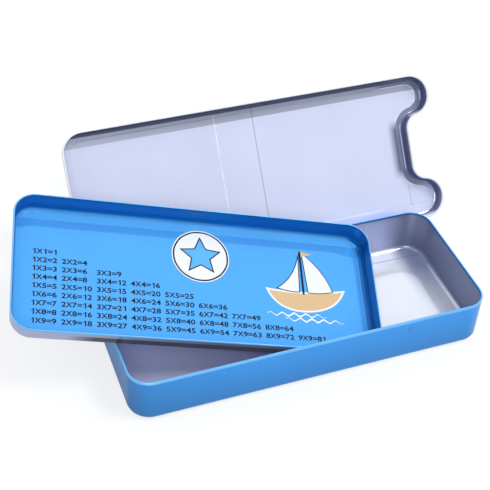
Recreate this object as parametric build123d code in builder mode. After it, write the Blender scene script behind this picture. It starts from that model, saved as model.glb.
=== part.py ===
from build123d import *
import math
import os

os.makedirs("parts", exist_ok=True)

# All sizes are in millimetres. X runs along the case, +Y is the hinge side, Z is up.
# The origin is the middle of the base's underside.

SHEET = 0.3

# Base tin
BASE_LENGTH = 200.0
BASE_WIDTH = 82.0
BASE_HEIGHT = 27.4
BASE_CORNER = 12.0
BASE_CURL = 0.65
FLOOR_FILLET = 3.0

# Low pips on the front wall that hold the lid's skirt shut
PIP_SPACING = 108.0
PIP_DROP = 6.5
PIP_LENGTH = 5.4
PIP_WIDTH = 2.8
PIP_CORNER = 0.8
PIP_RISE = 0.3
PIP_TAPER = 40

# Lid, measured on the inner face of its skirt
LID_GAP = 0.4
LID_END_GAP = 0.9
LID_OVERLAP = 6.4
LID_CORNER = 11.0
LID_CURL = 0.5
LID_FILLET = 1.8
LID_HEADROOM = 0.35
LID_OPEN_ANGLE = 127.0

# Two round ears at the lid's right end, with a notch between them
EAR_TIP = 116.6
EAR_RADIUS = 11.1
NOTCH_RADIUS = 8.6

# Panel pressed out of the lid's top
PANEL_INSET = 4.1
PANEL_REAR = 33.9
PANEL_CORNER = 2.5
PANEL_RISE = 0.8
PANEL_BEVEL = 0.45

# Fine creases scored across the lid's panel and along the base's floor
CREASE_WIDTH = 0.5
CREASE_DEPTH = 0.1
LID_CREASES = (-13.0, 9.7)
EAR_CREASE = 99.9
EAR_CREASE_START = 22.0
FLOOR_CREASE = 31.6

# Two hinges: knuckles curled from the rear walls round a wire
HINGE_SPACING = 100.0
HINGE_OUTSET = 0.3
HINGE_DROP = 0.5
WIRE_RADIUS = 0.5
WIRE_FIT = 0.06
LID_KNUCKLE = 8.0
BASE_KNUCKLE = 6.0
KNUCKLE_GAP = 0.3
WIRE_INSET = 0.3

# Lift-out tray that hangs by its curled rim on the base's rim
TRAY_GAP = 0.3
TRAY_DEPTH = 12.0
TRAY_CORNER = 11.1
TRAY_CURL = 0.55
TRAY_FILLET = 3.0

# The tray lies askew across the case: its underside rests on the left and rear rims,
# and the toe of its right end stands on the floor against the front wall
TRAY_YAW = -11.43
REST_GAP = 0.3
LEFT_REST_Y = -7.84
REAR_REST_X = 23.2
TOE_X = 31.92
TOE_INSET = 8.85
TOE_LIFT = 0.51
TOE_FROM_END = 6.65
TOE_FROM_SIDE = 4.7

# Curls, knuckles and the long outer rounds are made in flats of one width
CURL_SIDES = 8
CURL_TURN = 180 / CURL_SIDES
FLAT_TANGENT = math.tan(math.radians(CURL_TURN))
HALF_FLAT_TANGENT = math.tan(math.radians(CURL_TURN / 2))

hinge_y = BASE_WIDTH / 2 + HINGE_OUTSET
lid_edge = BASE_HEIGHT - LID_OVERLAP
hinge_z = lid_edge - HINGE_DROP
knuckle_bore = WIRE_RADIUS + WIRE_FIT
knuckle_radius = knuckle_bore + SHEET

tray_length = BASE_LENGTH - 4 * BASE_CURL - 2 * TRAY_GAP
tray_width = BASE_WIDTH - 4 * BASE_CURL - 2 * TRAY_GAP
curl_offset = BASE_CURL + TRAY_GAP + SHEET - TRAY_CURL
seated_rise = math.sqrt((BASE_CURL + TRAY_CURL) ** 2 - curl_offset ** 2)
tray_top = BASE_HEIGHT - BASE_CURL + seated_rise + TRAY_CURL
lid_ledge = tray_top + LID_HEADROOM

open_angle = math.radians(LID_OPEN_ANGLE)
lid_normal = (0, math.sin(open_angle), math.cos(open_angle))
lid_frame = Plane(origin=(0, hinge_y, hinge_z), x_dir=(1, 0, 0), z_dir=lid_normal)
lid_frame_side = Plane(origin=(0, hinge_y, hinge_z), x_dir=lid_frame.y_dir, z_dir=(1, 0, 0))
tongue_y = LID_GAP - HINGE_OUTSET + SHEET / 2

left_rest = Vector(-BASE_LENGTH / 2, LEFT_REST_Y, BASE_HEIGHT + REST_GAP)
rear_rest = Vector(REAR_REST_X, BASE_WIDTH / 2, BASE_HEIGHT + REST_GAP)
toe = Vector(TOE_X, -BASE_WIDTH / 2 + TOE_INSET, SHEET + TOE_LIFT)
tray_up = (toe - left_rest).cross(rear_rest - left_rest).normalized()
yaw = math.radians(TRAY_YAW)
heading = Vector(math.cos(yaw), math.sin(yaw), 0)
tray_along = heading - Vector(0, 0, heading.dot(tray_up) / tray_up.Z)
underside_plane = Plane(origin=toe, x_dir=tray_along, z_dir=tray_up)
tray_origin = underside_plane.from_local_coords(
    Vector(TOE_FROM_END - tray_length / 2, tray_width / 2 - TOE_FROM_SIDE, TRAY_DEPTH)
)
tray_frame = Plane(origin=tray_origin, x_dir=tray_along, z_dir=tray_up)


def lid_level(height):
    """Plane across the open lid that lies at this height when the lid is shut."""
    origin = lid_frame.from_local_coords(Vector(0, -hinge_y, height - hinge_z))
    return Plane(origin=origin, x_dir=(1, 0, 0), z_dir=lid_normal)


def eared_outline(grow):
    """Closed outline of the lid, moved outward from the skirt's inner face."""
    half = BASE_WIDTH / 2 + LID_GAP + grow
    left = -BASE_LENGTH / 2 - LID_END_GAP - grow
    corner = LID_CORNER + grow
    ear = EAR_RADIUS + grow
    throat = NOTCH_RADIUS - grow
    ear_x = EAR_TIP - EAR_RADIUS
    ear_y = half - ear
    throat_x = BASE_LENGTH / 2 + LID_GAP + NOTCH_RADIUS
    run = throat_x - ear_x
    rise = math.sqrt((ear + throat) ** 2 - run ** 2)
    throat_y = ear_y - rise
    swing = math.degrees(math.atan2(rise, run))
    with BuildLine() as outline:
        Line((left + corner, -half), (ear_x, -half))
        CenterArc((ear_x, -ear_y), ear, -90, 90 + swing)
        CenterArc((throat_x, -throat_y), throat, 180 + swing, -swing)
        Line((throat_x - throat, -throat_y), (throat_x - throat, throat_y))
        CenterArc((throat_x, throat_y), throat, 180, -swing)
        CenterArc((ear_x, ear_y), ear, -swing, 90 + swing)
        Line((ear_x, half), (left + corner, half))
        CenterArc((left + corner, half - corner), corner, 90, 90)
        Line((left, half - corner), (left, -half + corner))
        CenterArc((left + corner, -half + corner), corner, 180, 90)
    return outline.wire()


def panel_face(grow):
    """Face of the pressed panel, set back further along the hinge side."""
    with BuildSketch() as panel:
        make_face(eared_outline(grow - PANEL_INSET))
        depth = BASE_WIDTH + PANEL_REAR
        with Locations((0, PANEL_REAR + grow - depth / 2)):
            Rectangle(2 * BASE_LENGTH, depth, mode=Mode.INTERSECT)
        fillet(panel.vertices().group_by(Axis.Y)[-1], PANEL_CORNER)
    return panel.sketch


def round_in_flats(form, face, inward, radius):
    """Rounds a face's edge in three flats. The axis inward runs from the face into the form."""
    chamfer(face.edges(), radius * (1 - FLAT_TANGENT))
    loops = form.edges().group_by(inward)
    chamfer(loops[0] + loops[2], radius * (FLAT_TANGENT - HALF_FLAT_TANGENT))


def curl_section(plane, radius, quadrant):
    """Open curl of sheet metal, cut away over one quadrant beside the wall."""
    with BuildSketch(plane) as section:
        RegularPolygon(radius, CURL_SIDES, major_radius=False, rotation=CURL_TURN)
        RegularPolygon(
            radius - SHEET, CURL_SIDES, major_radius=False, rotation=CURL_TURN, mode=Mode.SUBTRACT
        )
        with Locations((quadrant[0] * radius / 2, quadrant[1] * radius / 2)):
            Rectangle(radius, radius, mode=Mode.SUBTRACT)
    return section.sketch


# Base tin: drawn shell with an inward curled rim, snap pips and rear knuckles
base_rim = BASE_HEIGHT - BASE_CURL
base_path = Plane.XY.offset(base_rim) * RectangleRounded(
    BASE_LENGTH - 2 * BASE_CURL, BASE_WIDTH - 2 * BASE_CURL, BASE_CORNER - BASE_CURL
)
base_curl_plane = Plane(
    origin=(0, -BASE_WIDTH / 2 + BASE_CURL, base_rim), x_dir=(0, -1, 0), z_dir=(-1, 0, 0)
)
base_curl_section = curl_section(base_curl_plane, BASE_CURL, (1, -1))
front_wall = Plane.XZ.offset(BASE_WIDTH / 2)
pip_places = [(side * PIP_SPACING / 2, BASE_HEIGHT - PIP_DROP) for side in (-1, 1)]
rear_wall = Plane.XZ.offset(-BASE_WIDTH / 2 - SHEET)
window_length = LID_KNUCKLE + 2 * KNUCKLE_GAP
window_height = 2 * knuckle_radius + 2 * KNUCKLE_GAP
hinge_centres = (-HINGE_SPACING / 2, HINGE_SPACING / 2)
hinge_half = window_length / 2 + BASE_KNUCKLE

with BuildPart() as base_hollow:
    with BuildSketch(Plane.XY.offset(SHEET)):
        RectangleRounded(BASE_LENGTH - 2 * SHEET, BASE_WIDTH - 2 * SHEET, BASE_CORNER - SHEET)
    extrude(amount=base_rim)
    fillet(base_hollow.faces().sort_by(Axis.Z)[0].edges(), FLOOR_FILLET)

with BuildPart() as base_tin:
    with BuildSketch():
        RectangleRounded(BASE_LENGTH, BASE_WIDTH, BASE_CORNER)
    extrude(amount=base_rim)
    underside = base_tin.faces().sort_by(Axis.Z)[0]
    round_in_flats(base_tin, underside, Axis.Z, FLOOR_FILLET + SHEET)
    add(base_hollow.part, mode=Mode.SUBTRACT)
    sweep(sections=base_curl_section, path=base_path.wire())
    # Snap pips pressed outward from the front wall
    with BuildSketch(front_wall) as pips:
        with Locations(*pip_places):
            Rectangle(PIP_LENGTH, PIP_WIDTH)
        chamfer(pips.vertices(), PIP_CORNER)
    extrude(amount=PIP_RISE, taper=PIP_TAPER)
    with BuildSketch(front_wall.offset(-SHEET)) as pip_hollows:
        with Locations(*pip_places):
            Rectangle(PIP_LENGTH - SHEET, PIP_WIDTH - SHEET)
        chamfer(pip_hollows.vertices(), PIP_CORNER)
    extrude(amount=PIP_RISE, taper=PIP_TAPER, mode=Mode.SUBTRACT)
    # Crease scored along the floor
    with BuildSketch(Plane.XY.offset(SHEET)):
        with Locations((0, FLOOR_CREASE)):
            Rectangle(BASE_LENGTH - 4 * FLOOR_FILLET, CREASE_WIDTH)
    extrude(amount=-CREASE_DEPTH, mode=Mode.SUBTRACT)
    # Windows in the rear wall, in which the lid's knuckles turn
    with BuildSketch(rear_wall):
        for x in hinge_centres:
            with Locations((x, hinge_z)):
                Rectangle(window_length, window_height)
    extrude(amount=3 * SHEET, mode=Mode.SUBTRACT)
    # Knuckles curled from the wall on both sides of each window
    for x in hinge_centres:
        for side in (-1, 1):
            start = x + side * (window_length + BASE_KNUCKLE) / 2 - BASE_KNUCKLE / 2
            with BuildSketch(Plane.YZ.offset(start)):
                with Locations((hinge_y, hinge_z)):
                    RegularPolygon(knuckle_radius, CURL_SIDES, major_radius=False, rotation=CURL_TURN)
            extrude(amount=BASE_KNUCKLE)
        with BuildSketch(Plane.YZ.offset(x - hinge_half)):
            with Locations((hinge_y, hinge_z)):
                Circle(knuckle_bore)
        extrude(amount=2 * hinge_half, mode=Mode.SUBTRACT)

base_tin.part.label = "base_tin"
export_step(base_tin.part, "parts/base_tin.step")

# Hinge wires
for name, x in zip(("hinge_wire_left", "hinge_wire_right"), hinge_centres):
    with BuildPart() as hinge_wire:
        with BuildSketch(Plane.YZ.offset(x - hinge_half + WIRE_INSET)):
            with Locations((hinge_y, hinge_z)):
                Circle(WIRE_RADIUS)
        extrude(amount=2 * (hinge_half - WIRE_INSET))
    hinge_wire.part.label = name
    export_step(hinge_wire.part, f"parts/{name}.step")

# Lid: skirt, rounded top edge, ledge and a panel pressed outward, modelled open
lid_axis = Axis((0, hinge_y, hinge_z), lid_normal)
skirt_foot = lid_edge + LID_CURL
lid_path = lid_level(skirt_foot) * eared_outline(LID_CURL)
lid_curl_origin = lid_level(skirt_foot).from_local_coords(
    Vector(0, -BASE_WIDTH / 2 - LID_GAP - LID_CURL, 0)
)
lid_curl_plane = Plane(origin=lid_curl_origin, x_dir=-lid_frame.y_dir, z_dir=(-1, 0, 0))
lid_curl_section = curl_section(lid_curl_plane, LID_CURL, (-1, 1))

with BuildPart() as lid_cavity:
    with BuildSketch(lid_level(lid_edge)):
        make_face(eared_outline(0))
    extrude(amount=lid_ledge - lid_edge)
    cavity_top = lid_cavity.faces().sort_by(lid_axis)[-1]
    round_in_flats(lid_cavity, cavity_top, lid_axis.reverse(), LID_FILLET)
    with BuildSketch(lid_level(lid_ledge)):
        add(panel_face(0))
    extrude(amount=PANEL_RISE)
    recess_top = lid_cavity.faces().sort_by(lid_axis)[-1]
    chamfer(recess_top.edges(), PANEL_BEVEL)
    # Creases scored in the panel
    with BuildSketch(lid_level(lid_ledge + PANEL_RISE)):
        with Locations((LID_CREASES[0], 0)):
            Rectangle(CREASE_WIDTH, 2 * PANEL_REAR)
        with Locations((LID_CREASES[1], 0)):
            Rectangle(CREASE_WIDTH, 2 * PANEL_REAR)
        with Locations((EAR_CREASE, (EAR_CREASE_START + PANEL_REAR) / 2)):
            Rectangle(CREASE_WIDTH, PANEL_REAR - EAR_CREASE_START)
    extrude(amount=CREASE_DEPTH)

with BuildPart() as lid:
    with BuildSketch(lid_level(skirt_foot)):
        make_face(eared_outline(SHEET))
    extrude(amount=lid_ledge + SHEET - skirt_foot)
    lid_top = lid.faces().sort_by(lid_axis)[-1]
    round_in_flats(lid, lid_top, lid_axis.reverse(), LID_FILLET + SHEET)
    with BuildSketch(lid_level(lid_ledge + SHEET)):
        add(panel_face(SHEET))
    extrude(amount=PANEL_RISE)
    boss_top = lid.faces().sort_by(lid_axis)[-1]
    chamfer(boss_top.edges(), PANEL_BEVEL)
    add(lid_cavity.part, mode=Mode.SUBTRACT)
    sweep(sections=lid_curl_section, path=lid_path)
    # Room for the base's knuckles
    for x in hinge_centres:
        relief_half = hinge_half + KNUCKLE_GAP
        with BuildSketch(Plane.YZ.offset(x - relief_half)):
            with Locations((hinge_y, hinge_z)):
                Circle(knuckle_radius + KNUCKLE_GAP)
        extrude(amount=2 * relief_half, mode=Mode.SUBTRACT)
        # Tongue from the skirt, curled round the wire
        with BuildSketch(lid_frame_side.offset(x - LID_KNUCKLE / 2)):
            with Locations((tongue_y, (skirt_foot - hinge_z) / 2)):
                Rectangle(SHEET, skirt_foot - hinge_z + LID_CURL)
            RegularPolygon(knuckle_radius, CURL_SIDES, major_radius=False, rotation=CURL_TURN)
            Circle(knuckle_bore, mode=Mode.SUBTRACT)
        extrude(amount=LID_KNUCKLE)

lid.part.label = "lid"
export_step(lid.part, "parts/lid.step")

# Lift-out tray, modelled where it lies across the open case
tray_rim = tray_frame.offset(-TRAY_CURL)
tray_path = tray_rim * RectangleRounded(
    tray_length + 2 * (TRAY_CURL - SHEET),
    tray_width + 2 * (TRAY_CURL - SHEET),
    TRAY_CORNER + TRAY_CURL - SHEET,
)
tray_curl_origin = tray_rim.from_local_coords(
    Vector(0, -tray_width / 2 - TRAY_CURL + SHEET, 0)
)
tray_curl_plane = Plane(
    origin=tray_curl_origin, x_dir=-tray_frame.y_dir, z_dir=-tray_frame.x_dir
)
tray_curl_section = curl_section(tray_curl_plane, TRAY_CURL, (-1, -1))
tray_axis = Axis(tray_frame.origin, tray_frame.z_dir)

with BuildPart() as tray_hollow:
    with BuildSketch(tray_frame.offset(SHEET - TRAY_DEPTH)):
        RectangleRounded(tray_length - 2 * SHEET, tray_width - 2 * SHEET, TRAY_CORNER - SHEET)
    extrude(amount=TRAY_DEPTH)
    fillet(tray_hollow.faces().sort_by(tray_axis)[0].edges(), TRAY_FILLET)

with BuildPart() as inner_tray:
    with BuildSketch(tray_frame.offset(-TRAY_DEPTH)):
        RectangleRounded(tray_length, tray_width, TRAY_CORNER)
    extrude(amount=TRAY_DEPTH - TRAY_CURL)
    tray_underside = inner_tray.faces().sort_by(tray_axis)[0]
    round_in_flats(inner_tray, tray_underside, tray_axis, TRAY_FILLET + SHEET)
    add(tray_hollow.part, mode=Mode.SUBTRACT)
    sweep(sections=tray_curl_section, path=tray_path.wire())

inner_tray.part.label = "inner_tray"
export_step(inner_tray.part, "parts/inner_tray.step")
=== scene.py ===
"""Looks of the metal pencil case: lacquers, printed tray, camera, lights and floor."""

import math

import bmesh
import bpy
from mathutils import Euler, Matrix, Vector


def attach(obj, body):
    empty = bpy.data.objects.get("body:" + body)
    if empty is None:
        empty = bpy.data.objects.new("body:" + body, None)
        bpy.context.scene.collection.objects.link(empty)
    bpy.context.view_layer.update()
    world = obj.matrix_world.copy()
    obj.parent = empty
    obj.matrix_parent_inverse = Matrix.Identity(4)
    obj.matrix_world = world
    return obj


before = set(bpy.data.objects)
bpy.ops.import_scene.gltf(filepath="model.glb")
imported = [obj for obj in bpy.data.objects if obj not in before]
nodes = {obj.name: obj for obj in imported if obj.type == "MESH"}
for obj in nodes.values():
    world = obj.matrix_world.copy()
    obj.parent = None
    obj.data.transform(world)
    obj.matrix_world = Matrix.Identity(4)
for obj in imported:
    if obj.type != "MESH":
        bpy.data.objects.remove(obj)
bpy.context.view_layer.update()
scene = bpy.context.scene

MM = 0.001

# Camera: what it looks at and where it stands, in millimetres and degrees
CAMERA_TARGET = (-5.78, 54.45, 15.0)
CAMERA_DISTANCE = 658.94
CAMERA_AZIMUTH = -22.50
CAMERA_ELEVATION = 41.86
CAMERA_ROLL = 3.61
CAMERA_LENS = 83.87
CAMERA_SENSOR = 36.0

# Where the sheet parts lie: a point of each part's own frame, and its turns about X, Y and Z.
# The base's frame is the scene's, the lid's is its hinge axis, and the tray's is the middle of its rim.
BASE_PLACE = ((0, 0, 0), (0, 0, 0))
LID_PLACE = ((0, 41.3, 20.5), (-127.0, 0, 0))
TRAY_PLACE = ((-46.0, 13.794, 40.607), (17.22, 11.638, -11.43))

# A block inside each part, in its own frame: the sheet's inner faces look towards it
BASE_CORE = ((-88, -29, 10), (88, 29, 26.05))
LID_CORE = ((-90, -71.3, -5.5), (95, -11.3, 3.5))
TRAY_CORE = ((-86, -27, -6), (86, 27, -1.1))

# Heights where the curled rims start, and the place along Y behind which the base's knuckles lie
BASE_RIM = 26.05
LID_RIM = 1.55
TRAY_RIM = -1.1
BASE_REAR = 41.02

# Lacquers of the flats, and the painted light and shade of the drawn walls, the curled rims, the
# creases and the lid's ledge, edge and hinge side
BLUE = (0.030, 0.330, 0.860)
# Curled rims: a lighter blue as a painted highlight on their outside, and a painted shade on their
# inner side
RIM_HIGHLIGHT_BLUE = (0.170, 0.520, 0.920)
RIM_PAINTED_SHADE = (0.004, 0.105, 0.330)
TRAY_BLUE = (0.085, 0.425, 0.940)
# The tray's inner walls: painted shade, darker than its floor
TRAY_WALL_PAINTED_SHADE = (0.002, 0.165, 0.520)
PEARL = (0.750, 0.785, 0.970)
# The base's floor goes from PEARL on its left to BASE_PEARL on its right: darker and bluer on the left,
# as painted shade under the tray
BASE_PEARL = (0.880, 0.905, 0.950)
# A painted reflection of the dark walls in the floor's right corner, strongest towards the rear
BASE_FLOOR_PAINTED_REFLECTION = (0.370, 0.407, 0.570)
# The base's inner walls: painted shade, darker than its floor; also the painted shade in the floor's
# crease
BASE_WALL_PAINTED_SHADE = (0.230, 0.255, 0.380)
# The lid's walls and shoulder: painted shade
LID_WALL_PAINTED_SHADE = (0.085, 0.095, 0.165)
# Painted shade on the lid's ledge at its right side and beside the notch
LID_LEDGE_PAINTED_SHADE = (0.250, 0.270, 0.380)
# Painted highlight on the lid's wall at its hinge side
LID_HINGE_HIGHLIGHT = (0.900, 0.920, 0.980)
# Painted highlight on the lid's curled edge
LID_EDGE_HIGHLIGHT = (0.900, 0.910, 0.930)
TRAY_OUTSIDE = (0.230, 0.245, 0.345)
# The tray's flat underside is painted lighter than its walls: painted light, which lightens its
# reflection in the base's floor
TRAY_UNDERSIDE = (0.640, 0.670, 0.900)
# A painted highlight on a crease and on the lid's step, and a painted shade in the other creases
PAINTED_HIGHLIGHT_WHITE = (1.0, 1.0, 1.0)
CREASE_PAINTED_SHADE = (0.470, 0.490, 0.620)

# Gloss of the lacquer, how far it varies, and how much rougher it is where it looks satin
LACQUER_ROUGHNESS = 0.10
TRAY_ROUGHNESS = 0.08
GLOSS_SPREAD = 0.2
SATIN = 0.22
LEFT_WALL_SATIN = 1.9
METALLIC = 0.28
LACQUER_TINT = (0.55, 0.65, 0.85, 1)
COAT = 0.15
COAT_ROUGHNESS = 0.10

# Noises in the lacquer: scale per millimetre, and detail
CLOUDS = (0.03, 3.0)
DUST = (0.9, 4.0)
WAVY_SHEET = (0.035, 1.0)
ORANGE_PEEL = (1.1, 2.0)
LINE_BREAKS = (0.35, 2.0)

# Most of a noise lies between these two values, and most of the mixed noise of the gloss between
# the next two. CLOUD_SHADE is how dark and how light the clouds are.
NOISE_SPAN = (0.3, 0.7)
GLOSS_SPAN = (0.35, 0.65)
CLOUD_SHADE = (0.965, 1.02)
CLOUD_SHARE = 0.6

# Bumps: strength, and depth in millimetres
PRESSED_BUMP = (1.0, 1.0)
SHEET_BUMP = (0.5, 0.15)
PEEL_BUMP = (0.25, 0.004)

# How upright a surface has to stand, by its normal along Z: where it starts to take the walls'
# painted shade, and where it has taken it. Faces below BOTTOM_FACES are the tray's flat underside.
WALL_RISE = (0.90, 0.45)
BOTTOM_FACES = -0.97

# From here on, four numbers are a gradient: where it starts and ends, and its first and last value.
# By the noise, the breaks in the lid's painted highlight lines:
BROKEN_LINE = (0.36, 0.48, 0.35, 1.0)

# By the normal along X or Y, in the part's own frame, where painted shade, painted shadow and a painted
# highlight go:
BASE_LEFT = (-0.4, -0.95, 0.0, 1.0)
LID_HINGE_SIDE = (-0.80, -0.98, 0.0, 1.0)
TRAY_RIGHT_WALL_SHADE = (-0.5, -0.9, 1.0, 0.70)
TRAY_RIGHT_FOOT_SHADE = (-0.12, -0.32, 0.0, 1.0)
TRAY_SHADOW_FACING = (-0.1, -0.3, 0.0, 1.0)

# Base, by the place along X, Y or Z: the painted shade of its floor, the painted reflection in the
# floor's corner, and the painted shade of its inner walls and sides
BASE_FLOOR_X = (-20.0, 40.0, 0.0, 1.0)
BASE_CORNER_X = (80.0, 88.0, 0.0, 1.0)
BASE_CORNER_Y = (-10.0, 22.0, 0.15, 1.0)
BASE_WALL_X = (76.0, 90.0, 1.95, 0.98)
BASE_SIDE_X = (-95.0, -30.0, 0.82, 1.0)
BASE_SIDE_Z = (2.0, 24.0, 0.72, 1.0)
BASE_LEFT_PAINTED_SHADE = 0.80

# Lid, by the place along X or Y: the painted shade of its walls, the painted shadow band along its top,
# and the painted shade and painted highlight of its right side. NOTCH_SPAN goes by the distance from
# the lid's middle.
LID_WALL_X = (90.0, 100.0, 1.0, 1.5)
LID_WALL_TOP_X = (90.0, 98.0, 7.7, 7.98)
LID_SHADOW_BAND_X = (-90.0, 0.0, 0.71, 0.57)
LID_RIGHT_X = (86.0, 92.0, 0.0, 1.0)
LID_RIGHT_Y = (-20.0, -14.0, 1.0, 0.0)
NOTCH_PAINTED_SHADE_X = (91.5, 95.5, 0.0, 1.0)
NOTCH_SPAN = (12.0, 18.0, 1.0, 0.0)

# Lid: places along Y of its middle, its painted shadow band and the painted shade along its top, and
# the heights that part its wall's shoulder from the ledge and the ledge from the pressed panel
LID_MIDDLE = -41.3
LID_SHADOW_BAND = -74.8
LID_TOP_PAINTED_SHADE = -80.3
LID_LEDGE_LEVEL = 8.2
LID_PANEL_LEVEL = 8.85

# Tray: painted shade along its outside, and a painted shadow on the foot of its front wall
TRAY_OUTSIDE_SHADE_X = (-75.0, 5.0, 1.9, 0.75)
TRAY_FOOT_SHADOW_X = (-70.0, -56.0, 0.0, 1.0)
TRAY_FOOT_SHADOW_Z = (-4.5, -5.1, 0.0, 1.0)
TRAY_FOOT_PAINTED_SHADOW = 0.08

# Pressed sheet: the base's floor curves up towards its right and rear walls. Each is the place
# where that starts, the slope that it reaches, and how far it takes to reach it.
BASE_SPRING_X = (74.7, 0.13, 25.0)
BASE_SPRING_Y = (-4.0, 0.11, 45.0)

# The tray's floor falls slightly, and rises again at its rear wall. Each is a start and a slope.
TRAY_FALL_Y = (25.6, -0.12)
TRAY_RISE_Y = (32.0, 0.50)

# Creases of the lid: place along X, width, first and last place along Y. The first takes a painted
# highlight, the others a painted shade.
LID_CREASE_LIT = (-13.0, 0.75, -80.0, -7.0)
LID_CREASE_SHADED = (9.7, 0.50, -80.0, -7.0)
EAR_CREASE = (99.9, 0.40, -19.0, -7.0)

# Crease of the base's floor: place along Y, width, and how strongly its painted shade shows
FLOOR_CREASE = 31.6
FLOOR_CREASE_WIDTH = 0.55
FLOOR_CREASE_SHARE = 0.6

# Hinge wires: drawn steel. WIRE_LINES is the scale and detail of a noise stretched along the wire.
WIRE_DARK = (0.40, 0.40, 0.42)
WIRE_LIGHT = (0.66, 0.66, 0.67)
WIRE_GLOSS = (0.26, 0.42)
WIRE_LINES = (4000.0, 3.0, (0.04, 1, 1))

# Inks: colours, gloss and how far it varies, and the noise of the print with what it adds
BLACK_INK = (0.003, 0.004, 0.012)
WHITE_INK = (0.77, 0.79, 0.83)
SAND_INK = (0.66, 0.45, 0.235)
SKY_INK = (0.10, 0.42, 0.86)
INK_ROUGHNESS = 0.45
INK_SPREAD = 0.15
INK_SPECULAR = 0.15
INK_SCREEN = (900.0, 3.0)
INK_GAIN = 1.06
INK_LIFTED_BLACK = 0.006

# Print on the tray's floor, in the tray's own frame
FLOOR_LEVEL = -11.7
INK_LIFT = 0.02
TABLE_FIRST = (-88.0, 10.95)
TABLE_SECOND_COLUMN = -72.4
TABLE_COLUMN_PITCH = 18.16
TABLE_ROW_PITCH = 5.08
TABLE_ROWS = 9

# Figures: height, weight added round each stroke, and the widths that each sign takes up,
# as shares of the height. FONT_HEIGHT is the height of a figure in a font of size 1.
FIGURE_HEIGHT = 2.8
FIGURE_WEIGHT = 0.10
FIGURE_STRETCH = 1.2
FIGURE_STEPS = 3
FONT_HEIGHT = 0.682
CELL_WIDTH = {"X": 1.10, "=": 0.96}
FIGURE_CELL = 0.915
FLAG_REACH = 0.30
FLAG_THICK = 0.16

# Star badge: place, radii, and the widths of its halo and its two dark edges
BADGE_PLACE = (3.0, 17.5)
BADGE_RADIUS = 14.6
BADGE_KNOTS = 12
BADGE_HALO = 1.5
BADGE_EDGE = 0.9
STAR_RADIUS = 10.6
STAR_WAIST = 5.0
STAR_KNOTS = 10
STAR_EDGE = 0.7

# Sailing boat: place and outlines. A bend is its start, the point that pulls it, and its end.
BOAT_PLACE = (60.5, 5.0)
HULL_EDGE = 1.1
SAIL_EDGE = 0.5
HULL = (
    ((-20, -5), (-15, -17), (0, -16.5)),
    ((0, -16.5), (17, -16), (23, -3.5)),
    ((23, -3.5), (2, -7.6), (-20, -5)),
)
MAIN_SAIL = (
    ((1.5, 19.5), (13, 10), (17, -3.6)),
    ((17, -3.6), (9, -5.8), (1.5, -4.8)),
)
FORE_SAIL = (
    ((-1.3, 16), (-5, 3), (-14.5, -3.4)),
    ((-14.5, -3.4), (-7, -5.4), (-1.3, -4.8)),
)
MAST = ((-0.5, 21), (0.7, 21), (0.7, -6.5), (-0.5, -6.5))
PENNANT = ((0.7, 21), (0.7, 17.6), (7.5, 19.6))
BEND_STEPS = 10

# Waves under the boat: where each line starts, and its form. WAVE_END is how far into its taper
# the line starts and ends, so that it has no point.
WAVE_STARTS = ((-22, -19.5), (-12, -22.4))
WAVE_LENGTH = 34.0
WAVE_SWELL = 0.9
WAVE_THICK = 1.1
WAVE_CRESTS = 5
WAVE_STEPS = 60
WAVE_END = 0.06

# Floor that is white to the camera and in reflections, and a mid grey as a source of light
FLOOR_SIZE = 24.0
FLOOR_ROUGHNESS = 0.9
FLOOR_AS_LIGHT = (0.55, 0.56, 0.58)
FLOOR_AS_SEEN = (0.96, 0.96, 0.96)
FLOOR_GLOW = 0.72

# Dome: strength at the horizon, what is added overhead and behind, and where each of those sets in
DOME_COLOR = (0.94, 0.97, 1.05, 1)
DOME_HORIZON = 0.30
DOME_TOP = 0.46
DOME_TOP_RISE = (0.15, 0.80)
DOME_BACK = 0.22
DOME_BACK_RISE = (-0.3, 0.5)

# Lamps that look at the origin: name, direction, distance and side in metres, and power
LAMPS = (
    ("key", (0.415, -0.231, 0.882), 1.5, 0.42, 9.0),
    ("front", (-0.25, -0.72, 0.65), 1.5, 0.70, 5.5),
)


def add_camera():
    azimuth = math.radians(CAMERA_AZIMUTH)
    elevation = math.radians(CAMERA_ELEVATION)
    back = Vector((
        math.sin(azimuth) * math.cos(elevation),
        -math.cos(azimuth) * math.cos(elevation),
        math.sin(elevation),
    ))
    right = Vector((0, 0, 1)).cross(back).normalized()
    up = back.cross(right)
    turn = Matrix.Rotation(math.radians(CAMERA_ROLL), 3, back)
    place = Matrix((turn @ right, turn @ up, back)).transposed().to_4x4()
    place.translation = (Vector(CAMERA_TARGET) + back * CAMERA_DISTANCE) * MM
    data = bpy.data.cameras.new("camera")
    data.lens = CAMERA_LENS
    data.sensor_width = CAMERA_SENSOR
    camera = bpy.data.objects.new("camera", data)
    scene.collection.objects.link(camera)
    camera.matrix_world = place
    scene.camera = camera


def node(tree, kind, inputs=None, **settings):
    """Adds a shader node. An input is a socket to link, or a value."""
    made = tree.nodes.new("ShaderNode" + kind)
    for key, value in settings.items():
        setattr(made, key, value)
    for key, value in (inputs or {}).items():
        if isinstance(value, bpy.types.NodeSocket):
            tree.links.new(value, made.inputs[key])
        else:
            made.inputs[key].default_value = value
    return made


def maths(tree, operation, first, second=0.0):
    return node(tree, "Math", {0: first, 1: second}, operation=operation).outputs[0]


def product(tree, first, *others):
    """Product of numbers, or of masks that all have to hold."""
    for other in others:
        first = maths(tree, "MULTIPLY", first, other)
    return first


def highest(tree, first, *others):
    """Highest of numbers, or of masks of which one has to hold."""
    for other in others:
        first = maths(tree, "MAXIMUM", first, other)
    return first


def rest_of(tree, share):
    """What a share leaves of 1."""
    return maths(tree, "SUBTRACT", 1.0, share)


def below(tree, value, limit):
    """1 where the value is below the limit, else 0."""
    return maths(tree, "LESS_THAN", value, limit)


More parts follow.
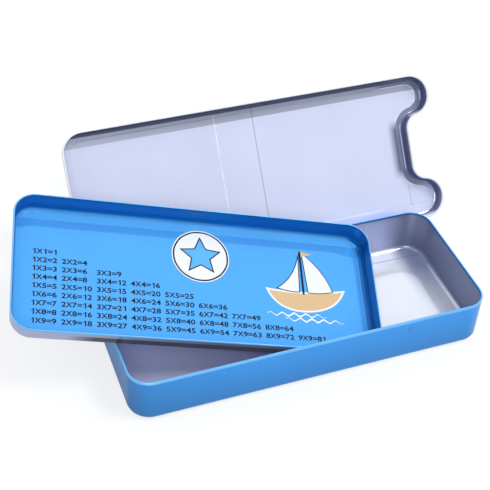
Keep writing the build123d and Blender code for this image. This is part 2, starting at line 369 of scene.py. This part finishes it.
def above(tree, value, limit):
    """1 where the value is above the limit, else 0."""
    return maths(tree, "GREATER_THAN", value, limit)


def gap(tree, value, place):
    """Distance of a value from a place."""
    return maths(tree, "ABSOLUTE", maths(tree, "SUBTRACT", value, place))


def vectors(tree, operation, first, second):
    made = node(tree, "VectorMath", {0: first, 1: second}, operation=operation)
    return made.outputs["Value" if operation == "DOT_PRODUCT" else "Vector"]


def scaled(tree, value, factor):
    """A vector or colour times a factor."""
    return node(tree, "VectorMath", {0: value, "Scale": factor}, operation="SCALE").outputs[0]


def axes(tree, vector):
    """The three numbers of a vector."""
    parts = node(tree, "SeparateXYZ", {0: vector})
    return [parts.outputs[axis] for axis in "XYZ"]


def blend(tree, factor, first, second):
    """Mixes two colours, given as sockets or as RGB, by a factor that is a socket."""
    mix = node(tree, "Mix", data_type="RGBA")
    sockets = [s for s in mix.inputs if s.enabled]
    for socket, value in zip(sockets, (factor, first, second)):
        if isinstance(value, bpy.types.NodeSocket):
            tree.links.new(value, socket)
        else:
            socket.default_value = (*value, 1)
    return [s for s in mix.outputs if s.enabled][0]


def noise(tree, point, scale, detail, stretch=(1, 1, 1)):
    spread = vectors(tree, "MULTIPLY", point, stretch)
    made = node(tree, "TexNoise", {"Vector": spread, "Scale": scale, "Detail": detail})
    return made.outputs["Fac"]


def remap(tree, value, low, high, new_low, new_high):
    """Straight gradient, level outside its two places."""
    made = node(tree, "MapRange", {
        "Value": value, "From Min": low, "From Max": high, "To Min": new_low, "To Max": new_high,
    })
    return made.outputs["Result"]


def smooth(tree, value, low, high):
    """Smooth step from 0 to 1."""
    made = node(tree, "MapRange", {
        "Value": value, "From Min": low, "From Max": high,
    }, interpolation_type="SMOOTHSTEP")
    return made.outputs["Result"]


def toned(tree, color, share, shade):
    """A colour that goes to a shade of itself where the share goes to 1, for painted shade and painted
    shadow.
    """
    return scaled(tree, color, remap(tree, share, 0.0, 1.0, 1.0, shade))


def new_look(name):
    look = bpy.data.materials.new(name)
    look.use_nodes = True
    return look, look.node_tree, look.node_tree.nodes["Principled BSDF"]


def own_frame(tree, place):
    """Point and normal of the surface in a part's own frame, in millimetres."""
    origin, turns = place
    turns = tuple(math.radians(turn) for turn in turns)
    seen = node(tree, "TexCoord")
    point = node(tree, "Mapping", {
        "Vector": scaled(tree, seen.outputs["Object"], 1 / MM), "Location": origin, "Rotation": turns,
    }, vector_type="TEXTURE").outputs[0]
    normal = node(tree, "Mapping", {
        "Vector": seen.outputs["Normal"], "Rotation": turns,
    }, vector_type="TEXTURE").outputs[0]
    return point, normal


def facing_core(tree, point, normal, core):
    """1 where the surface looks towards the block inside the part, else 0."""
    nearest = vectors(tree, "MAXIMUM", vectors(tree, "MINIMUM", point, core[1]), core[0])
    away = vectors(tree, "SUBTRACT", point, nearest)
    return below(tree, vectors(tree, "DOT_PRODUCT", away, normal), 0.0)


def wall_share(tree, facing_z):
    """0 on a flat and 1 on a wall, smooth over the rounds between them: where the walls' painted shade
    goes.
    """
    return smooth(tree, maths(tree, "ABSOLUTE", facing_z), *WALL_RISE)


def crease_mask(tree, x, y, crease):
    """1 within a crease's width and length."""
    place, width, start, end = crease
    across = below(tree, gap(tree, x, place), width / 2)
    return product(tree, across, above(tree, y, start), below(tree, y, end))


def ramp(tree, place, start, slope):
    """Height of a sheet that bends to a slope at its start."""
    past = maths(tree, "MAXIMUM", maths(tree, "SUBTRACT", place, start))
    return product(tree, past, slope)


def spring(tree, place, start, slope, reach):
    """Height of a sheet that curves up from a start to a slope at the end of its reach."""
    past = maths(tree, "MAXIMUM", maths(tree, "SUBTRACT", place, start))
    return product(tree, past, past, slope / (2 * reach))


def bump(tree, height, strength, depth, under=None):
    """Normal of a surface with this height, on top of another bump if there is one."""
    inputs = {"Height": height, "Strength": strength, "Distance": depth * MM}
    if under:
        inputs["Normal"] = under
    return node(tree, "Bump", inputs).outputs[0]


def lacquer(tree, shader, point, color, rough, satin, pressed=None):
    """Glossy print lacquer on tinplate: faint cloudiness, orange peel and a slightly wavy sheet."""
    cloud = noise(tree, point, *CLOUDS)
    dust = noise(tree, point, *DUST)
    shade = remap(tree, cloud, *NOISE_SPAN, *CLOUD_SHADE)
    tree.links.new(scaled(tree, color, shade), shader.inputs["Base Color"])
    smear = maths(tree, "ADD", product(tree, cloud, CLOUD_SHARE), product(tree, dust, 1 - CLOUD_SHARE))
    gloss = remap(tree, smear, *GLOSS_SPAN, rough * (1 - GLOSS_SPREAD), rough * (1 + GLOSS_SPREAD))
    gloss = maths(tree, "ADD", gloss, product(tree, satin, SATIN))
    tree.links.new(gloss, shader.inputs["Roughness"])
    shader.inputs["Metallic"].default_value = METALLIC
    shader.inputs["Specular Tint"].default_value = LACQUER_TINT
    shader.inputs["Coat Weight"].default_value = COAT
    shader.inputs["Coat Roughness"].default_value = COAT_ROUGHNESS
    form = bump(tree, pressed, *PRESSED_BUMP) if pressed else None
    sheet = bump(tree, noise(tree, point, *WAVY_SHEET), *SHEET_BUMP, form)
    peel = bump(tree, noise(tree, point, *ORANGE_PEEL), *PEEL_BUMP, sheet)
    tree.links.new(peel, shader.inputs["Normal"])


def base_look():
    look, tree, shader = new_look("base_lacquer")
    point, normal = own_frame(tree, BASE_PLACE)
    x, y, z = axes(tree, point)
    facing_x, _, facing_z = axes(tree, normal)
    inner = facing_core(tree, point, normal, BASE_CORE)
    curl = above(tree, z, BASE_RIM)
    inside = product(tree, inner, below(tree, z, BASE_RIM), below(tree, y, BASE_REAR))

    # Painted shade: the floor is darker and bluer to the left, under the tray
    flat = blend(tree, remap(tree, x, *BASE_FLOOR_X), PEARL, BASE_PEARL)
    # A painted reflection of the dark walls in the floor's right corner
    corner = product(tree, remap(tree, x, *BASE_CORNER_X), remap(tree, y, *BASE_CORNER_Y))
    flat = blend(tree, corner, flat, BASE_FLOOR_PAINTED_REFLECTION)
    # The floor's crease takes a painted shade
    crease = below(tree, gap(tree, y, FLOOR_CREASE), FLOOR_CREASE_WIDTH / 2)
    flat = blend(tree, product(tree, crease, FLOOR_CREASE_SHARE), flat, BASE_WALL_PAINTED_SHADE)
    upright = wall_share(tree, facing_z)
    # The inner walls take a painted shade, lighter on the rear wall than on the right wall
    wall = scaled(tree, BASE_WALL_PAINTED_SHADE, remap(tree, x, *BASE_WALL_X))
    lining = blend(tree, upright, flat, wall)

    # Painted shade: the outside is darker towards the bottom and the left end, and darker still on the
    # left wall
    left = remap(tree, facing_x, *BASE_LEFT)
    side = scaled(tree, BLUE, remap(tree, z, *BASE_SIDE_Z))
    side = scaled(tree, side, remap(tree, x, *BASE_SIDE_X))
    side = toned(tree, side, left, BASE_LEFT_PAINTED_SHADE)
    # The curled rim: a painted highlight outside and a painted shade on its inner side
    outside = blend(tree, curl, side, blend(tree, inner, RIM_HIGHLIGHT_BLUE, RIM_PAINTED_SHADE))
    color = blend(tree, inside, outside, lining)

    outer_left = product(tree, maths(tree, "SUBTRACT", left, inside), LEFT_WALL_SATIN)
    satin = highest(tree, curl, outer_left, product(tree, upright, inside))
    pressed = maths(tree, "ADD", spring(tree, x, *BASE_SPRING_X), spring(tree, y, *BASE_SPRING_Y))
    lacquer(tree, shader, point, color, LACQUER_ROUGHNESS, satin, pressed)
    return look


def lid_look():
    look, tree, shader = new_look("lid_lacquer")
    point, normal = own_frame(tree, LID_PLACE)
    x, y, z = axes(tree, point)
    _, facing_y, _ = axes(tree, normal)
    inner = facing_core(tree, point, normal, LID_CORE)
    curl = below(tree, z, LID_RIM)

    # One crease and the step at the right side take a painted highlight, broken by noise; the other
    # creases take a painted shade
    broken = remap(tree, noise(tree, point, *LINE_BREAKS), *BROKEN_LINE)
    white = product(tree, crease_mask(tree, x, y, LID_CREASE_LIT), broken)
    crease_shade = highest(tree, crease_mask(tree, x, y, LID_CREASE_SHADED), crease_mask(tree, x, y, EAR_CREASE))
    flat = blend(tree, crease_shade, blend(tree, white, PEARL, PAINTED_HIGHLIGHT_WHITE), CREASE_PAINTED_SHADE)
    # A painted shadow band along the lid's top
    band = scaled(tree, flat, remap(tree, x, *LID_SHADOW_BAND_X))
    flat = blend(tree, below(tree, y, LID_SHADOW_BAND), flat, band)

    # Painted shade on the ledge at the right side and beside the notch, and a painted highlight on the
    # step at the right side
    right = product(tree, remap(tree, x, *LID_RIGHT_X), remap(tree, y, *LID_RIGHT_Y))
    at_notch = remap(tree, gap(tree, y, LID_MIDDLE), *NOTCH_SPAN)
    beside = product(tree, remap(tree, x, *NOTCH_PAINTED_SHADE_X), at_notch)
    panel = blend(tree, beside, flat, LID_LEDGE_PAINTED_SHADE)
    shine = product(tree, right, broken, rest_of(tree, at_notch))
    step = blend(tree, shine, panel, PAINTED_HIGHLIGHT_WHITE)
    ledge = blend(tree, right, flat, LID_LEDGE_PAINTED_SHADE)
    lining = blend(tree, below(tree, z, LID_PANEL_LEVEL), panel, step)
    lining = blend(tree, below(tree, z, LID_LEDGE_LEVEL), lining, ledge)

    # The walls and the shoulder take a painted shade, lighter towards the right
    wall = scaled(tree, LID_WALL_PAINTED_SHADE, remap(tree, x, *LID_WALL_X))
    # The wall at the hinge side takes a painted highlight
    wall = blend(tree, remap(tree, facing_y, *LID_HINGE_SIDE), wall, LID_HINGE_HIGHLIGHT)
    # The walls' painted shade reaches up the shoulder to this height, and also covers a line along the
    # top
    wall_top = remap(tree, x, *LID_WALL_TOP_X)
    walls = highest(tree, below(tree, z, wall_top), below(tree, y, LID_TOP_PAINTED_SHADE))
    lining = blend(tree, walls, lining, wall)
    # The curled edge takes a painted highlight
    lining = blend(tree, curl, lining, LID_EDGE_HIGHLIGHT)
    color = blend(tree, highest(tree, inner, curl), BLUE, lining)
    lacquer(tree, shader, point, color, LACQUER_ROUGHNESS, walls)
    return look


def tray_look():
    look, tree, shader = new_look("tray_lacquer")
    point, normal = own_frame(tree, TRAY_PLACE)
    x, y, z = axes(tree, point)
    facing_x, facing_y, facing_z = axes(tree, normal)
    inner = facing_core(tree, point, normal, TRAY_CORE)
    curl = above(tree, z, TRAY_RIM)

    # The inner walls take a painted shade, darker on the right wall, which also spreads over that
    # wall's round foot
    wall = scaled(tree, TRAY_WALL_PAINTED_SHADE, remap(tree, facing_x, *TRAY_RIGHT_WALL_SHADE))
    upright = highest(tree, wall_share(tree, facing_z), remap(tree, facing_x, *TRAY_RIGHT_FOOT_SHADE))
    lining = blend(tree, upright, TRAY_BLUE, wall)
    # The curled rim: a painted highlight outside and a painted shade on its inner side
    lining = blend(tree, curl, lining, blend(tree, inner, RIM_HIGHLIGHT_BLUE, RIM_PAINTED_SHADE))

    # Painted shade: the outside darkens towards the right, where it stands inside the base
    outside = scaled(tree, TRAY_OUTSIDE, remap(tree, x, *TRAY_OUTSIDE_SHADE_X))
    # A painted shadow on the foot of the front wall, where it stands inside the base
    along = product(tree, remap(tree, z, *TRAY_FOOT_SHADOW_Z), remap(tree, x, *TRAY_FOOT_SHADOW_X))
    foot_shadow = product(tree, along, remap(tree, facing_y, *TRAY_SHADOW_FACING))
    outside = toned(tree, outside, foot_shadow, TRAY_FOOT_PAINTED_SHADOW)
    # The flat underside is painted lighter than the walls: painted light
    outside = blend(tree, below(tree, facing_z, BOTTOM_FACES), outside, TRAY_UNDERSIDE)
    sheet_top = highest(tree, inner, curl)
    color = blend(tree, sheet_top, outside, lining)

    satin = highest(tree, curl, rest_of(tree, sheet_top))
    pressed = maths(tree, "ADD", ramp(tree, y, *TRAY_FALL_Y), ramp(tree, y, *TRAY_RISE_Y))
    lacquer(tree, shader, point, color, TRAY_ROUGHNESS, satin, pressed)
    return look


def wire_look():
    look, tree, shader = new_look("wire_steel")
    point = node(tree, "TexCoord").outputs["Object"]
    drawn = noise(tree, point, *WIRE_LINES)
    tree.links.new(blend(tree, drawn, WIRE_DARK, WIRE_LIGHT), shader.inputs["Base Color"])
    tree.links.new(remap(tree, drawn, *NOISE_SPAN, *WIRE_GLOSS), shader.inputs["Roughness"])
    shader.inputs["Metallic"].default_value = 1.0
    return look


def ink_look(name, color):
    look, tree, shader = new_look(name)
    point = node(tree, "TexCoord").outputs["Object"]
    screen = noise(tree, point, *INK_SCREEN)
    light = tuple(min(1.0, c * INK_GAIN + INK_LIFTED_BLACK) for c in color)
    tree.links.new(blend(tree, screen, color, light), shader.inputs["Base Color"])
    smoothest = INK_ROUGHNESS * (1 - INK_SPREAD)
    roughest = INK_ROUGHNESS * (1 + INK_SPREAD)
    tree.links.new(remap(tree, screen, *NOISE_SPAN, smoothest, roughest), shader.inputs["Roughness"])
    shader.inputs["Specular IOR Level"].default_value = INK_SPECULAR
    return look


def frame_matrix(place):
    origin, turns = place
    turned = Euler([math.radians(turn) for turn in turns]).to_matrix().to_4x4()
    turned.translation = Vector(origin) * MM
    return turned


def flat_mesh(curve, place=(0, 0)):
    """Mesh of a flat curve or text whose sizes are in millimetres."""
    holder = bpy.data.objects.new("holder", curve)
    scene.collection.objects.link(holder)
    bpy.context.view_layer.update()
    mesh = bpy.data.meshes.new_from_object(holder)
    bpy.data.objects.remove(holder)
    mesh.transform(Matrix.Translation((*place, 0)))
    return mesh


def print_piece(name, meshes, look, layer):
    """Joins flat meshes into one printed piece on the tray's floor."""
    joined = bmesh.new()
    for mesh in meshes:
        joined.from_mesh(mesh)
        bpy.data.meshes.remove(mesh)
    level = FLOOR_LEVEL + INK_LIFT * layer
    to_tray = frame_matrix(TRAY_PLACE) @ Matrix.Scale(MM, 4) @ Matrix.Translation((0, 0, level))
    joined.transform(to_tray)
    mesh = bpy.data.meshes.new(name)
    joined.to_mesh(mesh)
    joined.free()
    mesh.materials.append(look)
    piece = bpy.data.objects.new(name, mesh)
    scene.collection.objects.link(piece)
    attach(piece, "tray")


def shape(points, grow=0.0, place=(0, 0), round_knots=False):
    """Filled flat shape round the points, widened by grow."""
    curve = bpy.data.curves.new("shape", "CURVE")
    curve.dimensions = "2D"
    curve.fill_mode = "BOTH"
    curve.offset = grow
    spline = curve.splines.new("BEZIER")
    spline.bezier_points.add(len(points) - 1)
    for knot, (x, y) in zip(spline.bezier_points, points):
        knot.co = (x, y, 0)
        knot.handle_left_type = knot.handle_right_type = "AUTO" if round_knots else "VECTOR"
    spline.use_cyclic_u = True
    return flat_mesh(curve, place)


def add_flag(mesh, stem):
    """Gives the stem of a figure 1 its flag, and keeps the whole in the middle of its cell."""
    top = FIGURE_HEIGHT + FIGURE_WEIGHT
    reach = FIGURE_HEIGHT * FLAG_REACH
    thick = FIGURE_HEIGHT * FLAG_THICK
    flag = shape([
        (-stem, top),
        (-stem, top - thick),
        (-stem - reach, top - reach - thick),
        (-stem - reach, top - reach),
    ])
    both = bmesh.new()
    both.from_mesh(mesh)
    both.from_mesh(flag)
    bmesh.ops.translate(both, verts=both.verts, vec=(reach / 2, 0, 0))
    both.to_mesh(mesh)
    both.free()


def sign_mesh(sign):
    """One printed sign, in the middle of its cell."""
    text = bpy.data.curves.new("sign", "FONT")
    text.body = sign
    text.size = FIGURE_HEIGHT / FONT_HEIGHT
    text.offset = FIGURE_WEIGHT
    text.resolution_u = FIGURE_STEPS
    mesh = flat_mesh(text)
    across = [v.co.x for v in mesh.vertices]
    stretch = 1.0 if sign == "X" else FIGURE_STRETCH
    middle = (min(across) + max(across)) / 2
    mesh.transform(Matrix.Diagonal((stretch, 1, 1, 1)) @ Matrix.Translation((-middle, 0, 0)))
    if sign == "1":
        add_flag(mesh, (max(across) - min(across)) * stretch / 2)
    return mesh


def times_table():
    """Rows of sums from 1X1=1 to 9X9=81, each column one row shorter than the last."""
    signs = {sign: sign_mesh(sign) for sign in "0123456789X="}
    placed = []
    for column in range(1, TABLE_ROWS + 1):
        start = TABLE_SECOND_COLUMN + (column - 2) * TABLE_COLUMN_PITCH
        if column == 1:
            start = TABLE_FIRST[0]
        for row in range(column, TABLE_ROWS + 1):
            x = start
            y = TABLE_FIRST[1] - (row - 1) * TABLE_ROW_PITCH
            for sign in f"{column}X{row}={column * row}":
                cell = CELL_WIDTH.get(sign, FIGURE_CELL) * FIGURE_HEIGHT
                mesh = signs[sign].copy()
                mesh.transform(Matrix.Translation((x + cell / 2, y, 0)))
                placed.append(mesh)
                x += cell
    return placed


def ring_points(radius, count, inner=None):
    """Points round a circle, every second one on the inner radius if there is one."""
    points = []
    for i in range(count):
        r = inner if inner and i % 2 else radius
        angle = math.pi / 2 + 2 * math.pi * i / count
        points.append((r * math.cos(angle), r * math.sin(angle)))
    return points


def bend_points(start, pull, end):
    """Points on a smooth bend from start towards end, without the end itself."""
    points = []
    for i in range(BEND_STEPS):
        t = i / BEND_STEPS
        points.append(tuple(
            (1 - t) ** 2 * a + 2 * t * (1 - t) * b + t ** 2 * c for a, b, c in zip(start, pull, end)
        ))
    return points


def outline(bends):
    return [point for bend in bends for point in bend_points(*bend)]


def wave_points(start, level):
    """Outline of a printed wave line that tapers to both ends."""
    upper, lower = [], []
    for i in range(WAVE_STEPS + 1):
        t = i / WAVE_STEPS
        x = start + WAVE_LENGTH * t
        y = level + WAVE_SWELL * math.sin(2 * math.pi * WAVE_CRESTS * t)
        taper = WAVE_THICK / 2 * math.sin(math.pi * (WAVE_END + (1 - 2 * WAVE_END) * t))
        upper.append((x, y + taper))
        lower.append((x, y - taper))
    return upper + lower[::-1]


def print_badge(black, white, sky):
    """A star on a round badge, from the bottom layer up."""
    disc = ring_points(BADGE_RADIUS, BADGE_KNOTS)
    star = ring_points(STAR_RADIUS, STAR_KNOTS, STAR_WAIST)
    pieces = (
        ("badge_halo", disc, BADGE_HALO, True, white),
        ("badge_edge", disc, BADGE_EDGE, True, black),
        ("badge_disc", disc, 0.0, True, white),
        ("star_edge", star, STAR_EDGE, False, black),
        ("star", star, 0.0, False, sky),
    )
    for layer, (name, points, grow, round_knots, ink) in enumerate(pieces, 1):
        print_piece(name, [shape(points, grow, BADGE_PLACE, round_knots)], ink, layer)


def print_boat(black, white, sand):
    """A sailing boat over two waves."""
    hull = [outline(HULL)]
    sails = [outline(MAIN_SAIL), outline(FORE_SAIL)]
    waves = [wave_points(start, level) for start, level in WAVE_STARTS]
    pieces = (
        ("hull_edge", hull, HULL_EDGE, white, 1),
        ("hull", hull, 0.0, sand, 2),
        ("sail_edges", sails, SAIL_EDGE, black, 3),
        ("sails", sails, 0.0, white, 4),
        ("mast", [MAST], 0.0, black, 5),
        ("pennant", [PENNANT], 0.0, sand, 5),
        ("waves", waves, 0.0, white, 3),
    )
    for name, outlines, grow, ink, layer in pieces:
        print_piece(name, [shape(points, grow, BOAT_PLACE) for points in outlines], ink, layer)


def add_floor():
    look, tree, shader = new_look("floor")
    path = node(tree, "LightPath").outputs
    seen = highest(tree, path["Is Camera Ray"], path["Is Glossy Ray"], path["Is Transmission Ray"])
    shader.inputs["Roughness"].default_value = FLOOR_ROUGHNESS
    tree.links.new(blend(tree, seen, FLOOR_AS_LIGHT, FLOOR_AS_SEEN), shader.inputs["Base Color"])
    glow = node(tree, "Emission", {"Color": (1, 1, 1, 1), "Strength": 1.0})
    mixed = node(tree, "MixShader", {
        0: product(tree, seen, FLOOR_GLOW), 1: shader.outputs[0], 2: glow.outputs[0],
    })
    tree.links.new(mixed.outputs[0], tree.nodes["Material Output"].inputs["Surface"])
    bpy.ops.mesh.primitive_plane_add(size=FLOOR_SIZE)
    floor = bpy.context.object
    floor.name = "floor"
    floor.data.materials.append(look)


def add_dome():
    """Soft light from a pale dome, brighter overhead and behind."""
    world = bpy.data.worlds.new("world")
    scene.world = world
    world.use_nodes = True
    tree = world.node_tree
    _, way_y, way_z = axes(tree, node(tree, "TexCoord").outputs["Generated"])
    top = product(tree, smooth(tree, way_z, *DOME_TOP_RISE), DOME_TOP)
    back = product(tree, smooth(tree, way_y, *DOME_BACK_RISE), DOME_BACK)
    level = maths(tree, "ADD", maths(tree, "ADD", top, back), DOME_HORIZON)
    dome = tree.nodes["Background"]
    tree.links.new(level, dome.inputs["Strength"])
    dome.inputs["Color"].default_value = DOME_COLOR


def add_lamp(name, way, distance, side, power):
    """Square lamp that looks at the origin from the given direction."""
    data = bpy.data.lights.new(name, "AREA")
    data.shape = "SQUARE"
    data.size = side
    data.energy = power
    lamp = bpy.data.objects.new(name, data)
    scene.collection.objects.link(lamp)
    lamp.location = Vector(way).normalized() * distance
    lamp.rotation_euler = (-lamp.location).to_track_quat("-Z", "Y").to_euler()


add_camera()

looks = {
    "base_tin": base_look(),
    "lid": lid_look(),
    "inner_tray": tray_look(),
    "hinge_wire_left": wire_look(),
    "hinge_wire_right": wire_look(),
}
for name, look in looks.items():
    for slot in nodes[name].material_slots:
        slot.material = look

black_ink = ink_look("black_ink", BLACK_INK)
white_ink = ink_look("white_ink", WHITE_INK)
sand_ink = ink_look("sand_ink", SAND_INK)
sky_ink = ink_look("sky_ink", SKY_INK)

print_piece("times_table", times_table(), black_ink, 1)
print_badge(black_ink, white_ink, sky_ink)
print_boat(black_ink, white_ink, sand_ink)

add_floor()
add_dome()
for lamp in LAMPS:
    add_lamp(*lamp)

scene.view_settings.view_transform = "Standard"
